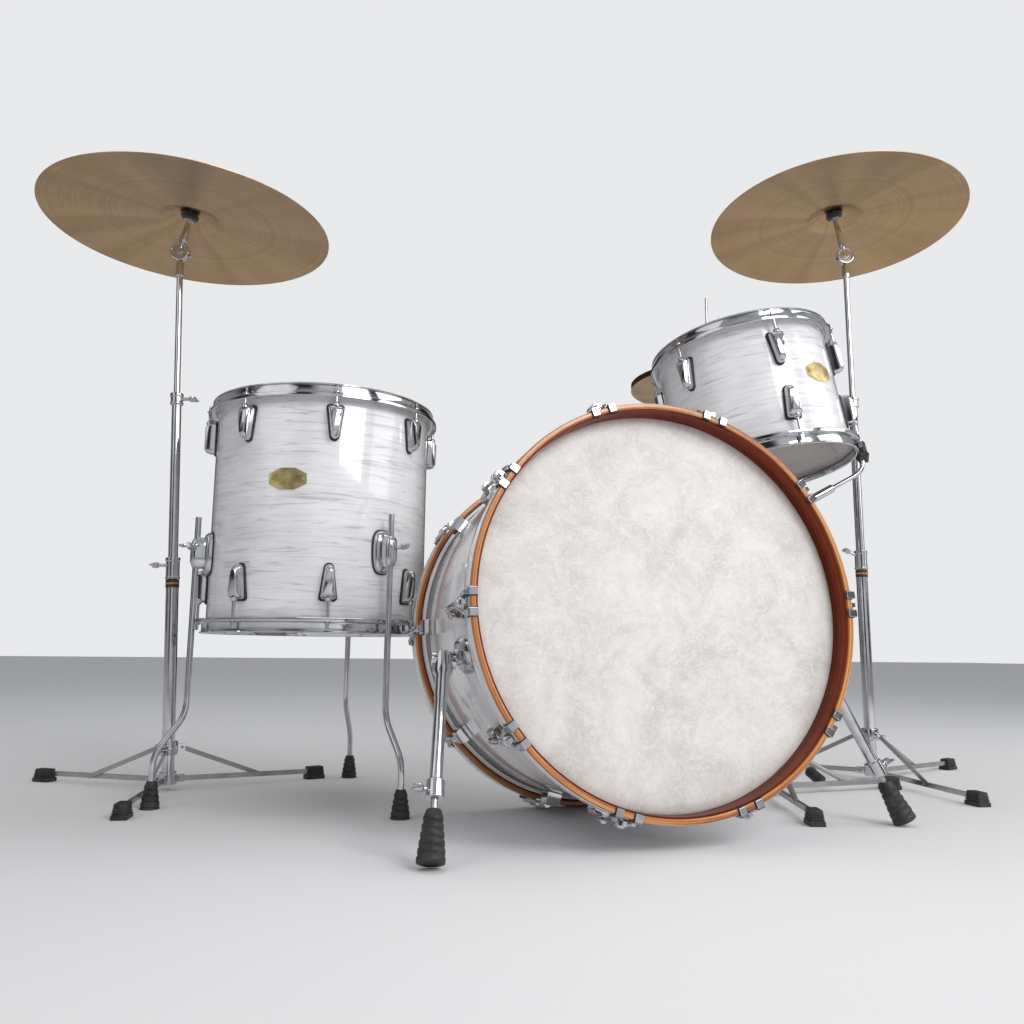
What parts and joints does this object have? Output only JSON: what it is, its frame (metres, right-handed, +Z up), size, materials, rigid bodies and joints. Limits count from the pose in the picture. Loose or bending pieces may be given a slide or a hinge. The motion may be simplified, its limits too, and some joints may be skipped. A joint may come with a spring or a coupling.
{
  "type": "acoustic drum kit",
  "caption": "Acoustic drum kit with pearl-wrapped drums, rack tom in a basket stand, pedal hi-hat and cymbals on folding, height-adjustable stands.",
  "frame": {"origin": "centre of the bounding box at floor level", "axes": "+Z up; -Y the way the front bass drum head faces, towards the audience; +X to the right as seen from the front"},
  "size_m": [2.1674, 1.101, 1.393],
  "materials": {
    "pearl": "white oyster pearl wrap, glossy",
    "maple": "clear lacquered maple",
    "head": "off-white mottled film",
    "clear_head": "clear film, grey-brown over the dark inside",
    "chrome": "polished",
    "steel": "satin",
    "bronze": "lathed bronze"
  },
  "bodies": {
    "kit_frame": {"bass_drum_shell": "pearl", "bass_drum_front_head": "head", "bass_drum_rear_head": "head", "bass_drum_front_hoop": "maple", "bass_drum_rear_hoop": "maple", "left_spur_bracket": "chrome", "right_spur_bracket": "chrome", "floor_tom_shell": "pearl", "floor_tom_batter_head": "head", "floor_tom_resonant_head": "clear_head", "floor_tom_top_hoop": "chrome", "floor_tom_bottom_hoop": "chrome", "floor_tom_bracket_1": "chrome", "floor_tom_bracket_2": "chrome", "floor_tom_bracket_3": "chrome", "left_stand_lower_tube": "chrome", "right_stand_lower_tube": "chrome", "tom_stand_base": "chrome", "hihat_base": "chrome", "hihat_bottom_cymbal": "bronze"},
    "left_spur_tube": {"left_spur_tube": "chrome"},
    "left_spur_rod": {"left_spur_rod": "steel"},
    "right_spur_tube": {"right_spur_tube": "chrome"},
    "right_spur_rod": {"right_spur_rod": "steel"},
    "floor_tom_leg_1": {"floor_tom_leg_1": "chrome"},
    "floor_tom_leg_2": {"floor_tom_leg_2": "chrome"},
    "floor_tom_leg_3": {"floor_tom_leg_3": "chrome"},
    "left_stand_middle_tube": {"left_stand_middle_tube": "chrome"},
    "left_stand_upper_tube": {"left_stand_upper_tube": "chrome"},
    "left_stand_tilter": {"left_stand_tilter": "chrome"},
    "left_cymbal": {"left_cymbal": "bronze"},
    "left_stand_collar": {"left_stand_collar": "steel"},
    "left_stand_leg_1": {"left_stand_leg_1": "steel"},
    "left_stand_strut_1": {"left_stand_strut_1": "steel"},
    "left_stand_leg_2": {"left_stand_leg_2": "steel"},
    "left_stand_strut_2": {"left_stand_strut_2": "steel"},
    "left_stand_leg_3": {"left_stand_leg_3": "steel"},
    "left_stand_strut_3": {"left_stand_strut_3": "steel"},
    "right_stand_middle_tube": {"right_stand_middle_tube": "chrome"},
    "right_stand_upper_tube": {"right_stand_upper_tube": "chrome"},
    "right_stand_tilter": {"right_stand_tilter": "chrome"},
    "right_cymbal": {"right_cymbal": "bronze"},
    "right_stand_collar": {"right_stand_collar": "steel"},
    "right_stand_leg_1": {"right_stand_leg_1": "steel"},
    "right_stand_strut_1": {"right_stand_strut_1": "steel"},
    "right_stand_leg_2": {"right_stand_leg_2": "steel"},
    "right_stand_strut_2": {"right_stand_strut_2": "steel"},
    "right_stand_leg_3": {"right_stand_leg_3": "steel"},
    "right_stand_strut_3": {"right_stand_strut_3": "steel"},
    "tom_post": {"tom_stand_post": "chrome"},
    "rack_tom": {"tom_stand_basket": "chrome", "rack_tom_shell": "pearl", "rack_tom_batter_head": "head", "rack_tom_resonant_head": "clear_head", "rack_tom_top_hoop": "chrome", "rack_tom_bottom_hoop": "chrome"},
    "hihat_rod": {"hihat_pull_rod": "chrome", "hihat_top_cymbal": "bronze"},
    "hihat_footboard": {"hihat_footboard": "chrome"}
  },
  "joints": [
    {"name": "left_spur_fold", "type": "hinge", "parent": "kit_frame", "child": "left_spur_tube", "pos_m": [-0.34186, -0.40089, 0.26234], "axis": [0.9901, -0.065, -0.1248], "range_deg": [0, 62]},
    {"name": "left_spur_length", "type": "slide", "parent": "left_spur_tube", "child": "left_spur_rod", "axis": [-0.1407, -0.4575, -0.878], "range_m": [-0.015, 0.02]},
    {"name": "right_spur_fold", "type": "hinge", "parent": "kit_frame", "child": "right_spur_tube", "pos_m": [0.3067, -0.39738, 0.26234], "axis": [0.8987, 0.0632, 0.4341], "range_deg": [0, 48]},
    {"name": "right_spur_length", "type": "slide", "parent": "right_spur_tube", "child": "right_spur_rod", "axis": [0.4386, -0.1296, -0.8893], "range_m": [-0.012, 0.02]},
    {"name": "floor_tom_leg_1_slide", "type": "slide", "parent": "kit_frame", "child": "floor_tom_leg_1", "axis": [0, 0, 1], "range_m": [-0.02, 0.2]},
    {"name": "floor_tom_leg_2_slide", "type": "slide", "parent": "kit_frame", "child": "floor_tom_leg_2", "axis": [0, 0, 1], "range_m": [-0.02, 0.2]},
    {"name": "floor_tom_leg_3_slide", "type": "slide", "parent": "kit_frame", "child": "floor_tom_leg_3", "axis": [0, 0, 1], "range_m": [-0.02, 0.2]},
    {"name": "left_stand_middle_slide", "type": "slide", "parent": "kit_frame", "child": "left_stand_middle_tube", "axis": [-0.0436, 0.0133, 0.999], "range_m": [-0.08, 0.06]},
    {"name": "left_stand_upper_slide", "type": "slide", "parent": "left_stand_middle_tube", "child": "left_stand_upper_tube", "axis": [-0.0436, 0.0133, 0.999], "range_m": [-0.08, 0.06]},
    {"name": "left_stand_tilt", "type": "hinge", "parent": "left_stand_upper_tube", "child": "left_stand_tilter", "pos_m": [-0.7992, 0.25844, 1.13083], "axis": [0.2917, 0.9565, 0], "range_deg": [-35, 35]},
    {"name": "left_cymbal_rock", "type": "hinge", "parent": "left_stand_tilter", "child": "left_cymbal", "pos_m": [-0.78268, 0.25104, 1.21998], "axis": [0.9994, 0.0003, -0.034], "range_deg": [-8, 8], "stiffness_Nm_per_rad": 6},
    {"name": "left_stand_collar_slide", "type": "slide", "parent": "kit_frame", "child": "left_stand_collar", "axis": [-0.0436, 0.0133, 0.999], "range_m": [-0.001, 0.2682]},
    {"name": "left_stand_leg_1_fold", "type": "hinge", "parent": "kit_frame", "child": "left_stand_leg_1", "pos_m": [-0.75491, 0.21749, 0.02015], "axis": [-0.9866, 0.1567, -0.0451], "range_deg": [0, 80]},
    {"name": "left_stand_strut_1_swing", "type": "hinge", "parent": "left_stand_collar", "child": "left_stand_strut_1", "pos_m": [-0.75753, 0.21829, 0.08008], "axis": [-0.9866, 0.1567, -0.0451], "range_deg": [-59.12, 0.5]},
    {"name": "left_stand_leg_2_fold", "type": "hinge", "parent": "kit_frame", "child": "left_stand_leg_2", "pos_m": [-0.72559, 0.25187, 0.02097], "axis": [0.3101, -0.9504, 0.0262], "range_deg": [-0.5, 80.5]},
    {"name": "left_stand_strut_2_swing", "type": "hinge", "parent": "left_stand_collar", "child": "left_stand_strut_2", "pos_m": [-0.72821, 0.25267, 0.08091], "axis": [0.3101, -0.9504, 0.0262], "range_deg": [-59.12, 0.5]},
    {"name": "left_stand_leg_3_fold", "type": "hinge", "parent": "kit_frame", "child": "left_stand_leg_3", "pos_m": [-0.77246, 0.25885, 0.01883], "axis": [0.5734, 0.8191, 0.0141], "range_deg": [-0.5, 80.5]},
    {"name": "left_stand_strut_3_swing", "type": "hinge", "parent": "left_stand_collar", "child": "left_stand_strut_3", "pos_m": [-0.77507, 0.25965, 0.07877], "axis": [0.5734, 0.8191, 0.0141], "range_deg": [-59.12, 0.5]},
    {"name": "right_stand_middle_slide", "type": "slide", "parent": "kit_frame", "child": "right_stand_middle_tube", "axis": [0, 0, 1], "range_m": [-0.08, 0.06]},
    {"name": "right_stand_upper_slide", "type": "slide", "parent": "right_stand_middle_tube", "child": "right_stand_upper_tube", "axis": [0, 0, 1], "range_m": [-0.08, 0.06]},
    {"name": "right_stand_tilt", "type": "hinge", "parent": "right_stand_upper_tube", "child": "right_stand_tilter", "pos_m": [0.7447, 0.0318, 1.246], "axis": [0.2917, 0.9565, 0], "range_deg": [-35, 35]},
    {"name": "right_cymbal_rock", "type": "hinge", "parent": "right_stand_tilter", "child": "right_cymbal", "pos_m": [0.72624, 0.04388, 1.36291], "axis": [1, -0.0003, -0.004], "range_deg": [-8, 8], "stiffness_Nm_per_rad": 6},
    {"name": "right_stand_collar_slide", "type": "slide", "parent": "kit_frame", "child": "right_stand_collar", "axis": [0, 0, 1], "range_m": [-0.001, 0.2565]},
    {"name": "right_stand_leg_1_fold", "type": "hinge", "parent": "kit_frame", "child": "right_stand_leg_1", "pos_m": [0.74193, 0.00545, 0.02], "axis": [-0.9945, 0.1045, 0], "range_deg": [0, 80]},
    {"name": "right_stand_strut_1_swing", "type": "hinge", "parent": "right_stand_collar", "child": "right_stand_strut_1", "pos_m": [0.74193, 0.00545, 0.1], "axis": [-0.9945, 0.1045, 0], "range_deg": [-54.42, 0.5]},
    {"name": "right_stand_leg_2_fold", "type": "hinge", "parent": "kit_frame", "child": "right_stand_leg_2", "pos_m": [0.7696, 0.04086, 0.02], "axis": [0.342, -0.9397, 0], "range_deg": [-0.5, 80.5]},
    {"name": "right_stand_strut_2_swing", "type": "hinge", "parent": "right_stand_collar", "child": "right_stand_strut_2", "pos_m": [0.7696, 0.04086, 0.1], "axis": [0.342, -0.9397, 0], "range_deg": [-54.42, 0.5]},
    {"name": "right_stand_leg_3_fold", "type": "hinge", "parent": "kit_frame", "child": "right_stand_leg_3", "pos_m": [0.72838, 0.05268, 0.02], "axis": [0.788, 0.6157, 0], "range_deg": [-0.5, 80.5]},
    {"name": "right_stand_strut_3_swing", "type": "hinge", "parent": "right_stand_collar", "child": "right_stand_strut_3", "pos_m": [0.72838, 0.05268, 0.1], "axis": [0.788, 0.6157, 0], "range_deg": [-54.42, 0.5]},
    {"name": "tom_post_slide", "type": "slide", "parent": "kit_frame", "child": "tom_post", "axis": [0, 0, 1], "range_m": [-0.03, 0.015]},
    {"name": "tom_basket_tilt", "type": "hinge", "parent": "tom_post", "child": "rack_tom", "pos_m": [0.3921, -0.1106, 0.545], "axis": [-0.6801, -0.7331, 0], "range_deg": [-4, 10]},
    {"name": "hihat_rod_slide", "type": "slide", "parent": "kit_frame", "child": "hihat_rod", "axis": [0, 0, 1], "range_m": [-0.011, 0], "stiffness_N_per_m": 1000, "springref_m": 0.03},
    {"name": "hihat_footboard_hinge", "type": "hinge", "parent": "kit_frame", "child": "hihat_footboard", "pos_m": [0.33473, 0.44182, 0.016], "axis": [-0.9063, -0.4226, 0], "range_deg": [-5, 1]}
  ],
  "couplings": [
    {"joint": "left_stand_collar_slide", "follows": "left_stand_leg_1_fold", "m_per_rad": 0.19064},
    {"joint": "left_stand_strut_1_swing", "follows": "left_stand_leg_1_fold", "ratio": -0.72649},
    {"joint": "left_stand_leg_2_fold", "follows": "left_stand_leg_1_fold", "ratio": 1},
    {"joint": "left_stand_strut_2_swing", "follows": "left_stand_leg_1_fold", "ratio": -0.72649},
    {"joint": "left_stand_leg_3_fold", "follows": "left_stand_leg_1_fold", "ratio": 1},
    {"joint": "left_stand_strut_3_swing", "follows": "left_stand_leg_1_fold", "ratio": -0.72649},
    {"joint": "right_stand_collar_slide", "follows": "right_stand_leg_1_fold", "m_per_rad": 0.18227},
    {"joint": "right_stand_strut_1_swing", "follows": "right_stand_leg_1_fold", "ratio": -0.66775},
    {"joint": "right_stand_leg_2_fold", "follows": "right_stand_leg_1_fold", "ratio": 1},
    {"joint": "right_stand_strut_2_swing", "follows": "right_stand_leg_1_fold", "ratio": -0.66775},
    {"joint": "right_stand_leg_3_fold", "follows": "right_stand_leg_1_fold", "ratio": 1},
    {"joint": "right_stand_strut_3_swing", "follows": "right_stand_leg_1_fold", "ratio": -0.66775},
    {"joint": "hihat_footboard_hinge", "follows": "hihat_rod_slide", "rad_per_m": 4.76}
  ]
}
